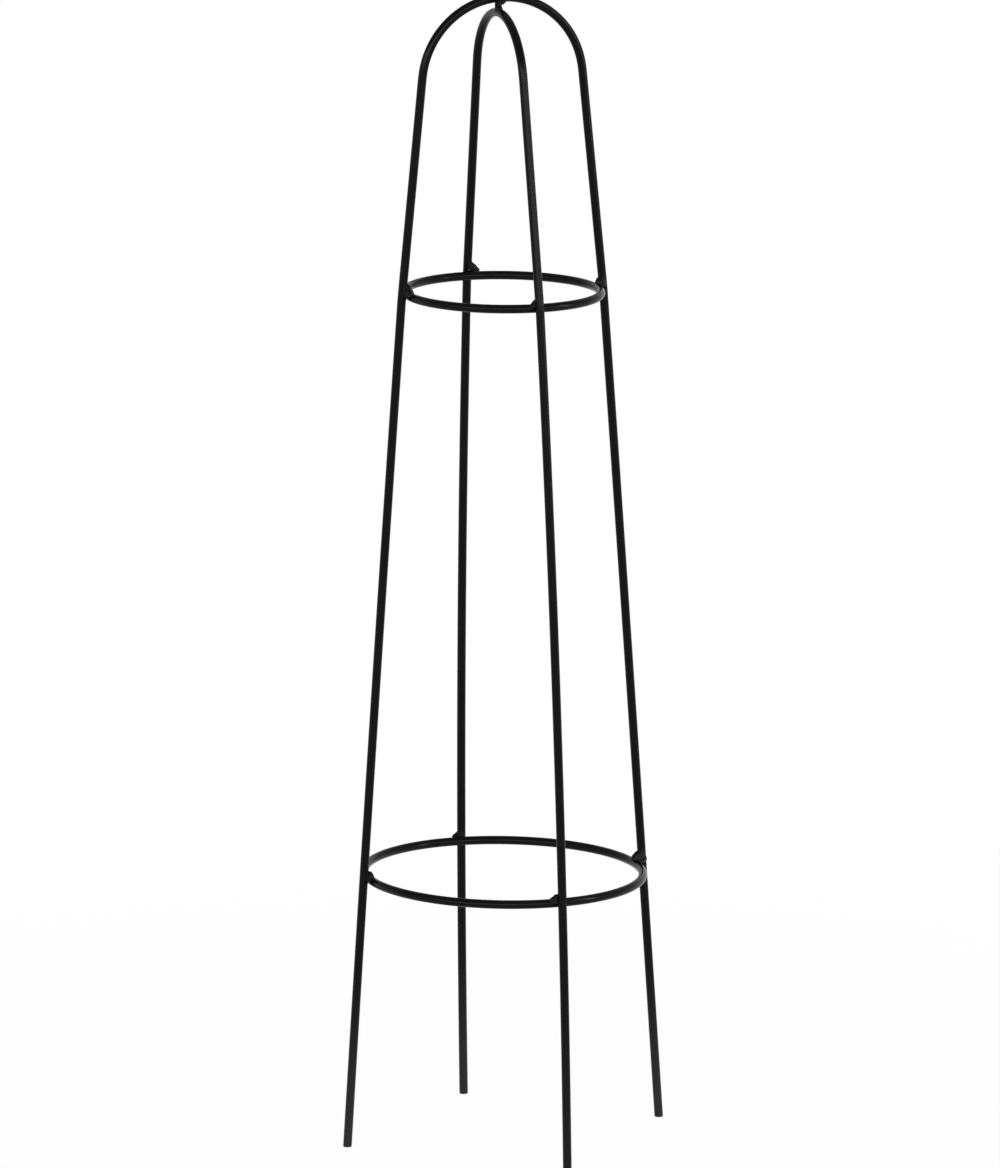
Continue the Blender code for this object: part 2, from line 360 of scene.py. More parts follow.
class Shading:
    """The nodes of one material or world."""

    def __init__(self, tree: bpy.types.NodeTree) -> None:
        """Start from an empty tree."""
        tree.nodes.clear()
        self.tree = tree

    def node(self, kind: str, sockets: dict | None = None, **settings: str) -> bpy.types.NodeOutputs:
        """Add a node.

        Args:
            kind: the node's type.
            sockets: values or links by socket name or number.
            **settings: its own settings, which are set first.

        Returns:
            Its outputs.
        """
        made = self.tree.nodes.new(kind)
        for name, setting in settings.items():
            setattr(made, name, setting)
        for key, value in (sockets or {}).items():
            source = value.socket if isinstance(value, Value) else value
            if isinstance(source, Socket):
                self.tree.links.new(source, made.inputs[key])
            else:
                made.inputs[key].default_value = source
        return made.outputs

    def value(self, kind: str, sockets: dict, **settings: str) -> Value:
        """The first output of a new node, which is a number."""
        return Value(self, self.node(kind, sockets, **settings)[0])

    def here(self) -> Socket:
        """A point's Object coordinates, in metres."""
        return self.node("ShaderNodeTexCoord")["Object"]

    def noise(self, size: float, detail: float, roughness: float = 0.5) -> Value:
        """Cloudy noise from 0 to 1, with features of about a size in metres and finer layers over them."""
        sockets = {"Vector": self.here(), "Scale": 1 / size, "Detail": detail, "Roughness": roughness}
        return self.value("ShaderNodeTexNoise", sockets)

    def cells(self, size: float) -> Value:
        """Distance to the nearest of scattered points, in shares of a size in metres."""
        return self.value("ShaderNodeTexVoronoi", {"Vector": self.here(), "Scale": 1 / size})

    def along(self, axis: str, vector: Socket) -> Value:
        """A vector's part along an axis."""
        return Value(self, self.node("ShaderNodeSeparateXYZ", {"Vector": vector})[axis])

    def tint(self, first: Colour | Socket, second: Colour, share: Value) -> Socket:
        """A colour mixed from two, all of it the second where the share is 1."""
        start = first if isinstance(first, Socket) else (*first, 1.0)
        return self.node("ShaderNodeMix", {0: share, 6: start, 7: (*second, 1.0)}, data_type="RGBA")[2]

    def bump(self, height: Value, depth: float) -> Socket:
        """A normal tipped by a height from 0 to 1 that stands for a depth in metres."""
        return self.node("ShaderNodeBump", {"Height": height, "Distance": depth})[0]

    def skin(self, colour: Socket, rough: Value, normal: Socket, specular: float) -> Socket:
        """The shader of a surface that isn't metal."""
        return self.node("ShaderNodeBsdfPrincipled", {"Base Color": colour, "Roughness": rough,
                                                      "Normal": normal, "Specular IOR Level": specular})[0]


class Coat(ABC):
    """A finish in one of the record's slots."""
    slot: ClassVar[Slot]

    @abstractmethod
    def surface(self, shading: Shading) -> Socket:
        """The finish's shader."""

    def dress(self, made: Made) -> None:
        """Give pieces this finish, and let each ride with the frame and stand for its node.

        Args:
            made: the node that each piece stands for, and the piece.
        """
        material = bpy.data.materials.new(self.slot.value)
        material.use_nodes = True
        shading = Shading(material.node_tree)
        shading.node("ShaderNodeOutputMaterial", {"Surface": self.surface(shading)})
        for node, piece in made:
            piece.data.materials.append(material)
            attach(piece, BODY)
            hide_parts(node)
            log.info("%s stands for %s: %d faces", piece.name, node, len(piece.data.polygons))


@dataclass(frozen=True)
class BarCoat(Coat):
    """Satin black powder coat on smooth bar: slightly uneven gloss, faint waves and orange peel, a few nibs.

    Near the ground the coat is duller and carries a painted reflection of the pale floor, whose upper edge
    wanders, and which is painted thinner on the front leg. The thin span holds the places from front to back
    between which the painted reflection grows to its full share.
    Cloud, wave, peel and nib spacing are the sizes of the patterns. Cloud share is the cloud's part in its
    blend with the wave, and patch the bounds between which that blend turns the colour from dark to light.
    Gloss cloud is its part in the blend that spreads the gloss. Nib size is in shares of the spacing.
    """
    slot: ClassVar[Slot] = Slot.BAR
    dark: Colour = (0.0005, 0.0005, 0.0006)
    light: Colour = (0.0015, 0.0015, 0.0016)
    # Painted reflection: the lighter colour that stands for the pale floor mirrored in the bars near the
    # ground.
    floor_sheen: Colour = (0.0170, 0.0170, 0.0166)
    sheen_height: float = 0.20
    sheen_wander: float = 0.04
    sheen_dullness: float = 0.1
    sheen_thin_span: Pair = (-0.15, -0.05)
    sheen_thin_share: float = 0.65
    gloss: Pair = (0.18, 0.28)
    gloss_cloud: float = 0.5
    specular: float = 0.10
    cloud: float = 0.030
    cloud_share: float = 0.7
    patch: Pair = (0.3, 0.7)
    wave: float = 0.007
    wave_depth: float = 0.00007
    peel: float = 0.00175
    peel_relief: float = 0.12
    nib_spacing: float = 0.007
    nib_size: Pair = (0.04, 0.13)
    nib_relief: float = 0.1
    nib_dullness: float = 0.05

    def surface(self, shading: Shading) -> Socket:
        """Black in two close tones, with a painted reflection of the pale floor near the ground, and its
        gloss and relief.

        Args:
            shading: the material's nodes.

        Returns:
            The shader.
        """
        cloud = shading.noise(self.cloud, detail=3.0)
        wave = shading.noise(self.wave, detail=2.0)
        peel = shading.noise(self.peel, detail=1.5)
        nib = 1 - shading.cells(self.nib_spacing).between(*self.nib_size)
        tone = cloud.blend(wave, self.cloud_share).between(*self.patch)
        here = shading.here()
        # Painted reflection of the pale floor: a lighter colour near the ground, with a wandering edge,
        # painted thinner on the front leg. The same band is also made duller.
        thin_sheen_side = 1 - shading.along("Y", here).between(*self.sheen_thin_span)
        wander = (cloud - 0.5) * self.sheen_wander
        painted_sheen = 1 - (shading.along("Z", here) + wander).between(0.0, self.sheen_height)
        painted_sheen = painted_sheen * (1 - thin_sheen_side * self.sheen_thin_share)
        colour = shading.tint(shading.tint(self.dark, self.light, tone), self.floor_sheen, painted_sheen)
        rough = cloud.blend(wave, self.gloss_cloud).span(*self.gloss)
        rough = rough + nib * self.nib_dullness + painted_sheen * self.sheen_dullness
        relief = wave + peel * self.peel_relief + nib * self.nib_relief
        return shading.skin(colour, rough, shading.bump(relief, self.wave_depth), self.specular)


@dataclass(frozen=True)
class WeldCoat(Coat):
    """The same coat over weld metal: it lies thicker in the hollows and duller on the grains and spatter.

    Grain, patch and pit spacing are the sizes of the patterns, and each relief is a pattern's part in the
    height. Grain share is the grain's part in its blend with the patch, and wear the bounds between which
    that blend turns the coat from dark and glossy to light and dull. Pit size is in shares of the spacing.
    """
    slot: ClassVar[Slot] = Slot.WELD
    dark: Colour = (0.0006, 0.0006, 0.0007)
    light: Colour = (0.0045, 0.0045, 0.0047)
    gloss: Pair = (0.22, 0.42)
    specular: float = 0.10
    depth: float = 0.00005
    grain: float = 0.0012
    grain_relief: float = 0.9
    grain_share: float = 0.6
    patch: float = 0.004
    patch_relief: float = 0.6
    pit_spacing: float = 0.0016
    pit_size: Pair = (0.10, 0.34)
    pit_relief: float = 0.35
    wear: Pair = (0.36, 0.66)

    def surface(self, shading: Shading) -> Socket:
        """Black in two tones, duller where it is lighter, with a grainy and pitted relief.

        Args:
            shading: the material's nodes.

        Returns:
            The shader.
        """
        grain = shading.noise(self.grain, detail=3.0, roughness=0.6)
        patch = shading.noise(self.patch, detail=2.0)
        pit = 1 - shading.cells(self.pit_spacing).between(*self.pit_size)
        relief = grain * self.grain_relief + patch * self.patch_relief - pit * self.pit_relief
        worn = grain.blend(patch, self.grain_share).between(*self.wear)
        return shading.skin(shading.tint(self.dark, self.light, worn), worn.span(*self.gloss),
                            shading.bump(relief, self.depth), self.specular)


# Sub-assemblies


@dataclass(frozen=True)
class ClosingWeld:
    """The weld over a ring's butt joint, ground nearly flush, so only a faint uneven band is left.

    Lift is its height over the bar and unevenness how much of that the lumps take or add. Dive share is the
    part of each half over which it goes under the bar's surface, and dive how deep.
    """
    seed: int
    half_length: float = 0.0048
    lift: float = 0.00016
    unevenness: float = 0.6
    lump_size: float = 0.0035
    grain: float = 0.00005
    grain_size: float = 0.0011
    dive: float = 0.0009
    dive_share: float = 0.25
    circles: int = 44
    sides: int = 64

    def build(self, name: str, run: Run) -> Thing:
        """The weld about the middle of a run.

        Its radius is the bar's, plus a low bell along the bar with lumps and grains on it, less the dive at
        both edges.

        Args:
            name: the piece's name.
            run: the ring's centreline on both sides of the joint.

        Returns:
            The weld's piece.
        """
        share = np.linspace(-1, 1, self.circles)
        distances = run.lengths()[-1] / 2 + self.half_length * share
        plain = run.rows(distances, np.full(self.circles, BAR_RADIUS), self.sides)
        bell = np.cos(share * math.pi / 2)[:, None]
        lift = self.lift * bell * (1 + self.unevenness * lumps(plain, self.lump_size, self.seed))
        lift = lift + self.grain * lumps(plain, self.grain_size, self.seed + 1)
        lift = lift - self.dive * smooth_step((np.abs(share) - 1) / self.dive_share + 1)[:, None]
        centres = run.at(distances)
        rows = centres[:, None] + unit(plain - centres[:, None]) * (BAR_RADIUS + lift)[..., None]
        return skinned(name, rows, centres[0], centres[-1])


@dataclass(frozen=True)
class RolledRing:
    """A ring rolled from bar, welded inside the legs and tipped down a little to the right.

    Joint offset is how far its butt joint lies past the front leg's seat, and end shares are the radii of the
    circles that close its flat ends, in shares of the bar's.
    """
    name: str
    height: float
    radius: float
    tilt: float
    closing: ClosingWeld
    joint_offset: float = 0.0034
    root_gap: float = 0.002
    end_shares: Pair = (0.5, 0.96)
    step: float = 0.0017
    sides: int = 56

    def seat(self) -> float:
        """Distance from the axis to the centreline of a leg that rests on the ring."""
        return self.radius + BAR_DIAMETER + SEAT_CLEARANCE

    def height_at(self, x: float) -> float:
        """Height of the ring's plane above a point to the side of the axis."""
        return self.height - x * math.tan(self.tilt)

    def placement(self) -> Matrix:
        """World matrix of the ring's own frame."""
        return Matrix.Translation((0, 0, self.height)) @ Matrix.Rotation(self.tilt, 4, "Y")

    def run(self, start: float, end: float) -> Run:
        """Part of the ring's centreline.

        Args:
            start: the angle where it starts.
            end: the angle where it ends.

        Returns:
            The centreline in the world.
        """
        angles = np.linspace(start, end, int(self.radius * (end - start) / self.step))
        flat = np.column_stack((arc(self.radius, angles), np.zeros(len(angles))))
        axis = np.array(self.placement(), float)[:3, 2]
        return Run(turned(self.placement(), flat), axis, BAR_RADIUS)

    def build(self, front: Array) -> tuple[Thing, Thing]:
        """The ring, open at its butt joint, with flat ends, and the weld over the joint.

        Args:
            front: where the front leg rests.

        Returns:
            The ring's piece and the weld's.
        """
        joint = math.atan2(front[1], front[0]) + self.joint_offset / self.radius
        half = self.root_gap / 2 / self.radius
        run = self.run(joint + half, joint + 2 * math.pi - half)
        length = run.lengths()[-1]
        body = np.linspace(0, length, int(length / self.step))
        distances = np.concatenate(((0, 0), body, (length, length)))
        radii = BAR_RADIUS * np.concatenate((self.end_shares, np.ones(len(body)), self.end_shares[::-1]))
        rows = run.rows(distances, radii, self.sides)
        ring = skinned(self.name + "_bar", rows, run.points[0], run.points[-1])
        around = 2 * self.closing.half_length / self.radius
        over = self.run(joint - around, joint + around)
        return ring, self.closing.build(self.name + "_closing_bead", over)


@dataclass(frozen=True)
class BentHoop:
    """A bar bent to an inverted U, with its two feet cut level.

    Spare is how far its centreline goes on below the ground, and settle how far its bends are evened out.
    Foot length is how far the close circles of a foot reach, and foot rows how far from the end those above
    the rounded edge stand. Cap shares are the radii of the circles that close a foot, in shares of the flat.
    A foot's circles are level up to the first of its level bounds, and square to the bar from the second.
    """
    name: str
    crosswise: bool
    crown_height: float
    bend_radius: float
    foot_radius: float
    shift: float
    lean: float
    edge_round: float = 0.0007
    edge_rows: int = 8
    foot_length: float = 0.010
    foot_rows: tuple[float, ...] = (0.0011, 0.0016, 0.0023, 0.0032, 0.0044, 0.0060, 0.0080)
    cap_shares: tuple[float, ...] = (0.35, 0.7, 0.97)
    level_bounds: Pair = (0.001, 0.008)
    spare: float = 0.024
    fine_step: float = 0.0005
    step: float = 0.0026
    settle: float = 0.004
    straight_points: int = 120
    bend_points: int = 300
    sides: int = 48

    def placement(self) -> Matrix:
        """World matrix of the hoop's own frame, whose origin is the crown."""
        crown = Matrix.Translation((self.shift, 0, self.crown_height)) @ Matrix.Rotation(-self.lean, 4, "Y")
        return crown @ Matrix.Rotation(math.pi / 2 if self.crosswise else 0, 4, "Z")

    def contact(self, ring: RolledRing, side: int) -> Array:
        """Where a leg rests on a ring: its seat's distance out, and its ring's height there.

        Args:
            ring: the ring.
            side: which end of the hoop.

        Returns:
            The point of the leg's centreline.
        """
        seat = ring.seat()
        if not self.crosswise:
            return np.array((side * seat, 0, ring.height_at(side * seat)))
        x = self.shift + (self.crown_height - ring.height) * math.tan(self.lean)
        return np.array((x, side * math.sqrt(seat ** 2 - x ** 2), ring.height_at(x)))

    def half(self, lower: RolledRing, upper: RolledRing, side: int) -> Array:
        """Distance from the axis and height along half of the hoop, foot first.

        Up to the upper ring the distance is a parabola of the height, through the foot and both seats. From
        there a straight run goes on to where it touches the crown's bend, a circle that leads to the crown.

        Args:
            lower: the lower ring.
            upper: the upper ring.
            side: which end of the hoop.

        Returns:
            Distance and height of each point.
        """
        across = 1 if self.crosswise else 0
        low, high = (self.contact(ring, side) for ring in (lower, upper))
        low_reach, high_reach = abs(low[across]), abs(high[across])
        foot_slope = (low_reach - self.foot_radius) / low[2]
        bow = ((high_reach - low_reach) / (high[2] - low[2]) - foot_slope) / high[2]
        height = np.arange(-self.spare, high[2], self.fine_step)
        reach = self.foot_radius + foot_slope * height + bow * height * (height - low[2])
        centre = self.crown_height - self.bend_radius
        drop = high[2] - centre
        touch = math.atan2(drop, high_reach) + math.acos(self.bend_radius / math.hypot(high_reach, drop))
        angle = np.linspace(touch, math.pi / 2, self.bend_points)
        bend = arc(self.bend_radius, angle) + (0, centre)
        straight = np.linspace((high_reach, high[2]), bend[0], self.straight_points, endpoint=False)
        return np.vstack((np.stack((reach, height), axis=-1), straight, bend))

    def run(self, lower: RolledRing, upper: RolledRing) -> Run:
        """The hoop's whole centreline in the world, its bends settled by a narrow running mean.

        Args:
            lower: the lower ring.
            upper: the upper ring.

        Returns:
            The centreline, from below one foot to below the other.
        """
        rising, falling = (self.half(lower, upper, side) for side in (-1, 1))
        reach = np.concatenate((-rising[:, 0], falling[-2::-1, 0]))
        height = np.concatenate((rising[:, 1], falling[-2::-1, 1])) - self.crown_height
        rough = turned(self.placement(), np.stack((reach, np.zeros(len(reach)), height), axis=-1))
        square = np.array(self.placement(), float)[:3, 1]
        even = Run(rough, square, BAR_RADIUS)
        length = even.lengths()[-1]
        points = even.at(np.linspace(0, length, int(length / self.fine_step)))
        return Run(gaussian_run(points, self.settle / self.fine_step), square, BAR_RADIUS)

    def build(self, run: Run) -> Thing:
        """The hoop, with flat feet whose edges are rounded.

        Near a foot the circles turn level, and the last of them shrink along a quarter circle to the flat
        end.

        Args:
            run: the hoop's centreline.

        Returns:
            The hoop's piece.
        """
        lengths, heights = run.lengths(), run.points[:, 2]
        half = len(lengths) // 2
        start = float(np.interp(0, heights[:half], lengths[:half]))
        end = float(np.interp(0, heights[half:][::-1], lengths[half:][::-1]))
        turn = np.linspace(0, math.pi / 2, self.edge_rows)
        cap = (BAR_RADIUS - self.edge_round) * np.array(self.cap_shares)
        edge = BAR_RADIUS - self.edge_round * (1 - np.sin(turn))
        foot = np.concatenate((np.zeros(len(cap)), self.edge_round * (1 - np.cos(turn)), self.foot_rows))
        foot_radii = np.concatenate((cap, edge, np.full(len(self.foot_rows), BAR_RADIUS)))
        first, last = start + self.foot_length, end - self.foot_length
        body = np.linspace(first, last, int((last - first) / self.step))
        distances = np.concatenate((start + foot, body, end - foot[::-1]))
        radii = np.concatenate((foot_radii, np.full(len(body), BAR_RADIUS), foot_radii[::-1]))
        low, high = self.level_bounds
        from_foot = np.minimum(distances - start, end - distances)
        rows = run.rows(distances, radii, self.sides, 1 - smooth_step((from_foot - low) / (high - low)))
        return skinned(self.name + "_bar", rows, *run.at(np.array((start, end))))


@dataclass(frozen=True)
class Bead:
    """Hand-laid weld metal in the corner between bars.

    It is an octahedron-like lump about the root of the joint, with softened edges, ripples across the bead
    and uneven lumps, and it wets onto the bars with a small hollow. Its first six lengths run ahead and back
    along the bead, to its inner and outer side, and up and down. Ripple bow is the width over which the
    ripples curve, ripple drift how far they stray from their pitch, and slack how many wettings past the lump
    its metal may reach.
    """
    reach: float
    tail: float
    inward: float
    outward: float
    rise: float
    toe: float
    fullness: float
    seed: int
    softness: float = 0.2
    ripple_pitch: float = 0.0019
    ripple: float = 0.00021
    ripple_bow: float = 0.012
    ripple_drift: float = 0.9
    drift_size: float = 0.006
    lump: float = 0.00022
    lump_size: float = 0.0055
    grain: float = 0.00005
    grain_size: float = 0.0016
    wetting: float = 0.0018
    slack: float = 2.0
    edge: float = 0.00018
    bury: float = 0.0007
    circles: int = 120
    sides: int = 160
    steps: int = 170
    evenings: int = 3

    def soft(self, way: Array) -> Array:
        """The size of a direction's share, rounded near nought, and 1 where the share is 1."""
        edge = self.softness
        return (np.sqrt(way ** 2 + edge ** 2) - edge) / (math.sqrt(1 + edge ** 2) - edge)

    def rays(self, axes: Array) -> Array:
        """Directions all round the root, as circles about a pole halfway between ahead and up.

        Each is the pole times the cosine of its angle from the pole, plus the sine times a direction turned
        evenly about the pole.

        Args:
            axes: directions along the bead, to its inner side, and up, as rows.

        Returns:
            Directions by circle and by place round it, with the pole and its opposite as first and last.
        """
        polar = np.linspace(0, math.pi, self.circles + 2)[1:-1, None, None]
        around = turns(self.sides)[:, None]
        pole = unit(axes[0] + axes[2])
        flat = np.cos(around) * axes[1] + np.sin(around) * np.cross(pole, axes[1])
        between = np.cos(polar) * pole + np.sin(polar) * flat
        ends = np.broadcast_to(pole, (1, self.sides, 3))
        return np.concatenate((ends, between, -ends))

    def free_lengths(self, shares: Array) -> Array:
        """How far the lump would go along each ray if no bar were near.

        One over the root of the sum of the softened shares over their lengths, each to the fullness. Ripples
        and lumps are added, which fade with the square of the distance toward the bead's ends, and grains,
        which don't.

        Args:
            shares: each ray's direction in shares of the bead's axes.

        Returns:
            One length for each ray.
        """
        ahead = np.array((self.reach, self.inward, self.rise))
        behind = np.array((self.tail, self.outward, self.toe))
        sizes = np.where(shares > 0, ahead, behind)
        lengths = ((self.soft(shares) / sizes) ** self.fullness).sum(-1) ** (-1 / self.fullness)
        local = shares * lengths[..., None]
        bow = (local[..., 1] ** 2 + local[..., 2] ** 2) / self.ripple_bow
        drift = self.ripple_drift * lumps(local, self.drift_size, self.seed)
        wave = np.sin(2 * math.pi * (local[..., 0] + bow) / self.ripple_pitch + drift)
        body = np.maximum(1 - (local[..., 0] / sizes[..., 0]) ** 2, 0)
        uneven = self.ripple * wave + self.lump * lumps(local, self.lump_size, self.seed + 1)
        return lengths + body * uneven + self.grain * lumps(local, self.grain_size, self.seed + 2)

    def build(self, name: str, root: Array, axes: Array, bars: list[Bend]) -> Thing:
        """Grow the bead out from its root until each ray leaves the metal, or is just under a bar's skin.

        Along each ray the metal ends where the smooth lesser of the distance past the lump and the distance
        from the bars, plus the edge's thickness, turns positive, where the ray is deeper in a bar than the
        bead is buried, or where it is past the lump by the slack, and each ray is tried half a wetting
        farther. So the bead dips under a bar's skin where it would be thinner than its edge. The lengths of
        neighbouring rays are then evened a few times, by halves and quarters.

        Args:
            name: the piece's name.
            root: the middle of the joint.
            axes: directions along the bead, to its inner side, and up, as rows.
            bars: the bars that it joins.

        Returns:
            The bead's piece.
        """
        rays = self.rays(axes)
        free = self.free_lengths(rays @ axes.T)
        steps = np.linspace(0, float(free.max()) + (self.slack + 0.5) * self.wetting, self.steps)
        places = root + rays[:, :, None] * steps[:, None]
        from_bars = np.minimum.reduce([bar.distance(places) for bar in bars])
        past_lump = steps - free[..., None]
        metal = smooth_least(past_lump, from_bars, self.wetting) + self.edge
        over = np.maximum(np.maximum(metal, -from_bars - self.bury), past_lump - self.slack * self.wetting)
        first = (over > 0).argmax(-1)[..., None]
        after, before = (np.take_along_axis(over, place, -1)[..., 0] for place in (first, first - 1))
        far = steps[first[..., 0] - 1] + before / (before - after) * steps[1]
        for _ in range(self.evenings):
            far = (np.roll(far, 1, 1) + 2 * far + np.roll(far, -1, 1)) / 4
            far[1:-1] = (far[:-2] + 2 * far[1:-1] + far[2:]) / 4
        surface = root + rays * far[..., None]
        return skinned(name, surface[1:-1], surface[0].mean(0), surface[-1].mean(0))


@dataclass(frozen=True)
class Stub:
    """The short upright bar between the crowns.

    Sunk is how far each end goes into its crown, and saddle limit the part of the lower crown's radius past
    which the saddle is no longer rounded.
    """
    shift: float = -0.0045
    sunk: float = 0.0004
    saddle_limit: float = 0.97
    circles: int = 14
    sides: int = 48

    def bend(self, middle: float) -> Bend:
        """The stub as a stretch of bar about a height."""
        return Bend(np.array((self.shift, 0, middle)), UP, np.zeros(3), SPACER_RADIUS)

    def build(self, top: Bend, bottom: Bend) -> Thing:
        """The stub, its ends saddled to the crowns.

        Each end's height is the crown's centreline, less or plus the side of the right triangle on the bar's
        radius and the distance across it, and a little more into the crown.

        Args:
            top: the outer hoop's crown.
            bottom: the inner hoop's crown.

        Returns:
            The stub's piece.
        """
        x, y = (arc(SPACER_RADIUS, turns(self.sides)) + (self.shift, 0)).T
        ceiling = top.point[2] - np.sqrt(top.radius ** 2 - y ** 2) + self.sunk
        limit = self.saddle_limit * bottom.radius
        beside = np.clip(x - bottom.point[0], -limit, limit)
        floor = bottom.point[2] + np.sqrt(bottom.radius ** 2 - beside ** 2) - self.sunk
        share = np.linspace(0, 1, self.circles)[:, None]
        heights = floor * (1 - share) + ceiling * share
        x, y = (np.broadcast_to(places, heights.shape) for places in (x, y))
        rows = np.stack((x, y, heights), axis=-1)
        ends = [np.array((self.shift, 0, level)) for level in (floor.min(), ceiling.max())]
        return skinned("crown_spacer_bar", rows, *ends)


@dataclass(frozen=True)
class RingJoints:
    """A ring's four fillet welds: which side of each leg the bead lies on, and its shape."""
    ring: RolledRing
    beads: dict[Leg, tuple[int, Bead]]

    def build(self, hoops: dict[bool, BentHoop], runs: dict[bool, Run]) -> Made:
        """The four beads.

        Args:
            hoops: the outer hoop under True, the inner one under False.
            runs: their centrelines.

        Returns:
            The node that each piece stands for, and the piece.
        """
        made = []
        circle = self.ring.run(0, 2 * math.pi)
        for leg, (side, bead) in self.beads.items():
            outer, end = leg.value
            seat = hoops[outer].contact(self.ring, end)
            outward = unit(np.array((seat[0], seat[1], 0.0)))
            along = np.cross(UP, outward) * side
            root = seat - outward * (BAR_RADIUS + SEAT_CLEARANCE / 2) + (along + UP) * BAR_RADIUS
            bars = [runs[outer].near(seat), circle.near(seat)]
            node = f"{self.ring.name}_weld_{leg.name.lower()}"
            made.append((node, bead.build(node + "_bead", root, np.stack((along, -outward, UP)), bars)))
        return made


@dataclass(frozen=True)
class CrownJoints:
    """The two welds that hold the stub between the crowns."""
    bead: Bead

    def build(self, stub: Stub, outer: Bend, inner: Bend) -> Made:
        """The upper bead, which runs to the right, and the lower one, which runs to the front.

        Args:
            stub: the stub.
            outer: the outer hoop's crown.
            inner: the inner hoop's crown.

        Returns:
            The node that each piece stands for, and the piece.
        """
        made = []
        middle = stub.bend((outer.point[2] + inner.point[2]) / 2)
        for name, crown, along, up in (("crown_weld_upper", outer, RIGHT, -UP),
                                       ("crown_weld_lower", inner, TO_FRONT, UP)):
            height = crown.point[2] + up[2] * crown.radius
            root = np.array((stub.shift, 0, height)) + along * SPACER_RADIUS
            axes = np.stack((along, np.cross(up, along), up))
            made.append((name, self.bead.build(name + "_bead", root, axes, [crown, middle])))
        return made


# Studio


@dataclass(frozen=True)
class Lamp:
    """A soft box that looks at a point on the axis: its width and height in metres, and its radiance."""
    name: str
    place: Triple
    size: Pair
    radiance: float
    target: float

    def build(self) -> None:
        """Hang the box, unseen by the camera. Its power is pi times its area times its radiance."""
        light = bpy.data.lights.new(self.name, "AREA")
        light.shape = "RECTANGLE"
        light.size, light.size_y = self.size
        light.energy = math.pi * self.size[0] * self.size[1] * self.radiance
        thing = placed(self.name, light)
        thing.location = self.place
        aim = Vector((0, 0, self.target)) - Vector(self.place)
        thing.rotation_euler = aim.to_track_quat("-Z", "Y").to_euler()
        thing.visible_camera = False


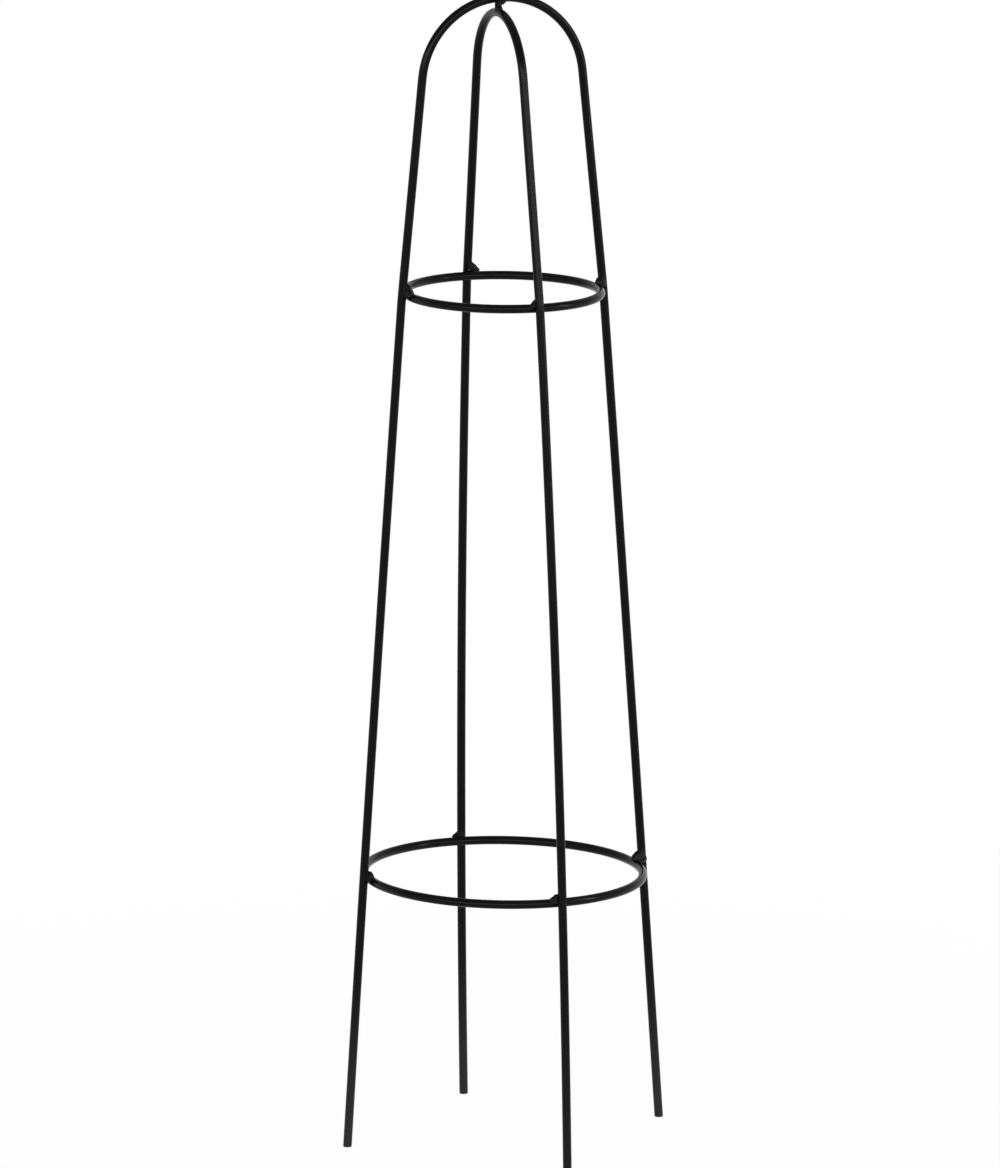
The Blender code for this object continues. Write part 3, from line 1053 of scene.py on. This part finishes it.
@dataclass(frozen=True)
class Studio:
    """A pale floor with a white wall round it, a band of light above the wall, soft boxes and the camera.

    Focal is the focal length in pixels of the picture's long side, and azimuth carries the camera round the
    object. Sky holds the light from overhead, what the band adds behind the object, and what it adds before
    it. Band rises holds the sines of the elevations between which the band grows, and band falls those
    between which it fades. Front is the level direction from the object to the camera, and front reach the
    cosines about it between which the band gains its strength. Floor glow is the floor's share of its own
    glow under the object, and glow reach the distances between which that share grows to all.
    """
    lamps: tuple[Lamp, ...]
    distance: float = 9.5
    camera_height: float = 2.598752
    focal: float = 9437.982
    long_side: int = 1168
    sensor: float = 36.0
    farthest: float = 100.0
    pitch: float = 0.20910539
    yaw: float = -0.00035384
    roll: float = 0.00138287
    azimuth: float = 0.34744375
    floor_radius: float = 14.0
    floor_colour: Colour = (0.92, 0.92, 0.92)
    floor_sides: int = 96
    wall_height: float = 2.4
    sky: Triple = (0.55, 0.3, 4.8)
    front: Triple = (-0.3405, -0.9402, 0.0)
    front_reach: Pair = (0.2, 0.9)
    band_rises: Pair = (0.08, 0.16)
    band_falls: Pair = (0.30, 0.46)
    floor_glow: float = 0.94
    glow_reach: Pair = (0.4, 1.4)

    def build_camera(self) -> None:
        """Set the camera: its axes are turned by yaw and pitch, rolled, and carried round the object."""
        cp, sp = math.cos(self.pitch), math.sin(self.pitch)
        cy, sy = math.cos(self.yaw), math.sin(self.yaw)
        right = Vector((cy, -sy, 0))
        up = Vector((sy * sp, cy * sp, cp))
        forward = Vector((sy * cp, cy * cp, -sp))
        cr, sr = math.cos(self.roll), math.sin(self.roll)
        right, up = right * cr - up * sr, right * sr + up * cr
        turn = Matrix.Rotation(-self.azimuth, 3, "Z")
        matrix = Matrix((turn @ right, turn @ up, turn @ -forward)).transposed().to_4x4()
        matrix.translation = turn @ Vector((0, -self.distance, self.camera_height))
        camera = bpy.data.cameras.new("photo_view")
        camera.sensor_width = self.sensor
        camera.lens = self.focal * self.sensor / self.long_side
        camera.clip_end = self.farthest
        thing = placed("photo_view", camera)
        thing.matrix_world = matrix
        bpy.context.scene.camera = thing

    def seen(self, shading: Shading) -> Value:
        """Tell the rays by which the floor shows from those by which it lights the object.

        Args:
            shading: the floor's nodes.

        Returns:
            1 for rays from the camera, and for those that are mirrored or let through, and 0 for the rest.
        """
        path = shading.node("ShaderNodeLightPath")
        camera, glossy, through = (Value(shading, path[f"Is {kind} Ray"])
                                   for kind in ("Camera", "Glossy", "Transmission"))
        return camera.most(glossy).most(through)

    def build_world(self) -> None:
        """Soft light from overhead, and a brighter band above the wall, strongest on the camera's side.

        The band is a smooth step of the elevation's sine up, times one down, and its strength a smooth step
        of how far a direction goes to the front.
        """
        world = bpy.data.worlds.new("soft_band")
        world.use_nodes = True
        shading = Shading(world.node_tree)
        way = shading.node("ShaderNodeTexCoord")["Generated"]
        sine = shading.along("Z", way)
        toward = shading.node("ShaderNodeVectorMath", {0: way, 1: self.front}, operation="DOT_PRODUCT")
        before = Value(shading, toward["Value"]).between(*self.front_reach)
        band = sine.between(*self.band_rises) * (1 - sine.between(*self.band_falls))
        strength = self.sky[0] + band * before.span(*self.sky[1:])
        back = shading.node("ShaderNodeBackground", {"Color": WHITE, "Strength": strength})
        shading.node("ShaderNodeOutputWorld", {"Surface": back[0]})
        bpy.context.scene.world = world

    def build_floor(self) -> None:
        """A wide pale disc, which keeps the object's shadow, with a low round wall at its rim.

        Its own glow grows from a share under the object to all of it farther out, where the floor is white.
        """
        sides = self.floor_sides
        index = np.arange(sides)
        flat = arc(self.floor_radius, turns(sides))
        foot, top = (np.column_stack((flat, np.full(sides, level))) for level in (0.0, self.wall_height))
        beside = np.roll(index, -1)
        wall = np.stack((beside, index, index + sides, beside + sides), axis=-1)
        mesh = bpy.data.meshes.new("floor")
        mesh.from_pydata(np.vstack((foot, top)).tolist(), [], [index.tolist()] + wall.tolist())
        material = bpy.data.materials.new("pale_floor")
        material.use_nodes = True
        shading = Shading(material.node_tree)
        plain = shading.node("ShaderNodeBsdfDiffuse", {"Color": (*self.floor_colour, 1.0)})
        glow = shading.node("ShaderNodeEmission", {"Color": WHITE, "Strength": 1.0})
        away = shading.node("ShaderNodeVectorMath", {0: shading.here()}, operation="LENGTH")["Value"]
        share = Value(shading, away).between(*self.glow_reach).span(self.floor_glow, 1) * self.seen(shading)
        mixed = shading.node("ShaderNodeMixShader", {0: share, 1: plain[0], 2: glow[0]})
        shading.node("ShaderNodeOutputMaterial", {"Surface": mixed[0]})
        mesh.materials.append(material)
        thing = placed("floor", mesh)

    def build(self) -> None:
        """Set up everything round the object."""
        self.build_camera()
        self.build_world()
        self.build_floor()
        for lamp in self.lamps:
            lamp.build()
        bpy.context.scene.view_settings.view_transform = "Standard"


@dataclass(frozen=True)
class Obelisk:
    """The whole frame: two hoops, two rings, the stub and their welds."""
    outer: BentHoop
    inner: BentHoop
    upper: RolledRing
    lower: RolledRing
    stub: Stub
    joints: tuple[RingJoints, ...]
    crown: CrownJoints
    bar_coat: BarCoat
    weld_coat: WeldCoat

    def build(self) -> None:
        """Build and dress every piece, the bars first."""
        hoops = {True: self.outer, False: self.inner}
        runs = {outer: hoop.run(self.lower, self.upper) for outer, hoop in hoops.items()}
        bars, welds = [], []
        for outer, hoop in hoops.items():
            bars.append((hoop.name, hoop.build(runs[outer])))
        for ring in (self.upper, self.lower):
            bar, weld = ring.build(self.inner.contact(ring, Leg.FRONT.value[1]))
            bars.append((ring.name, bar))
            welds.append((ring.name + "_closing_weld", weld))
        top, bottom = (runs[outer].near(np.array((self.stub.shift, 0, hoop.crown_height)))
                       for outer, hoop in hoops.items())
        bars.append(("crown_spacer", self.stub.build(top, bottom)))
        for joint in self.joints:
            welds += joint.build(hoops, runs)
        welds += self.crown.build(self.stub, top, bottom)
        self.bar_coat.dress(bars)
        self.weld_coat.dress(welds)


def main() -> None:
    """Build the obelisk and its studio."""
    logging.basicConfig(level=logging.INFO, format="%(name)s: %(message)s")
    upper = RolledRing("upper_ring", height=0.888, radius=0.1001, tilt=math.radians(0.6),
                       closing=ClosingWeld(seed=71))
    lower = RolledRing("lower_ring", height=0.278, radius=0.1442, tilt=math.radians(1.0),
                       closing=ClosingWeld(seed=81))
    outer = BentHoop("outer_hoop", crosswise=False, crown_height=1.192, bend_radius=0.087,
                     foot_radius=0.1725, shift=0.0, lean=0.0)
    inner = BentHoop("inner_hoop", crosswise=True, crown_height=1.1765, bend_radius=0.070,
                     foot_radius=0.15793, shift=-0.0035, lean=math.radians(0.75))
    # A bead comes after its side of the leg. Its numbers are reach, tail, inward, outward, rise, toe and
    # fullness.
    toe = 0.0035
    upper_joints = RingJoints(upper, {
        Leg.RIGHT: (-1, Bead(0.0048, 0.0066, 0.0054, 0.0054, 0.0070, 0.0045, 1.6, seed=11)),
        Leg.LEFT: (1, Bead(0.0110, 0.0046, 0.0064, 0.0046, 0.0098, toe, 1.15, seed=12)),
        Leg.BACK: (-1, Bead(0.0080, 0.0065, 0.0044, 0.0031, 0.0088, toe, 1.0, seed=13)),
        Leg.FRONT: (-1, Bead(0.0045, 0.0112, 0.0050, 0.0036, 0.0052, toe, 1.15, seed=14))})
    lower_joints = RingJoints(lower, {
        Leg.RIGHT: (-1, Bead(0.0058, 0.0078, 0.0096, 0.0078, 0.0102, 0.0045, 1.4, seed=21)),
        Leg.LEFT: (1, Bead(0.0052, 0.0044, 0.0056, 0.0028, 0.0072, toe, 1.3, seed=22)),
        Leg.BACK: (1, Bead(0.0075, 0.0075, 0.0045, 0.0035, 0.0062, toe, 1.0, seed=23)),
        Leg.FRONT: (-1, Bead(0.0085, 0.0112, 0.0046, 0.0033, 0.0062, toe, 1.15, seed=24))})
    crown_bead = Bead(0.0045, 0.0018, 0.0034, 0.0034, 0.0032, 0.0032, 1.3, seed=31, wetting=0.0012,
                      lump=0.00020, edge=0.00012)
    Obelisk(outer, inner, upper, lower, Stub(), (upper_joints, lower_joints), CrownJoints(crown_bead),
            BarCoat(), WeldCoat()).build()
    strip = Lamp("right_strip", place=(2.43, -1.76, 1.65), size=(0.18, 2.0), radiance=26.0, target=1.3)
    Studio(lamps=(strip,)).build()


if __name__ == "__main__":
    main()
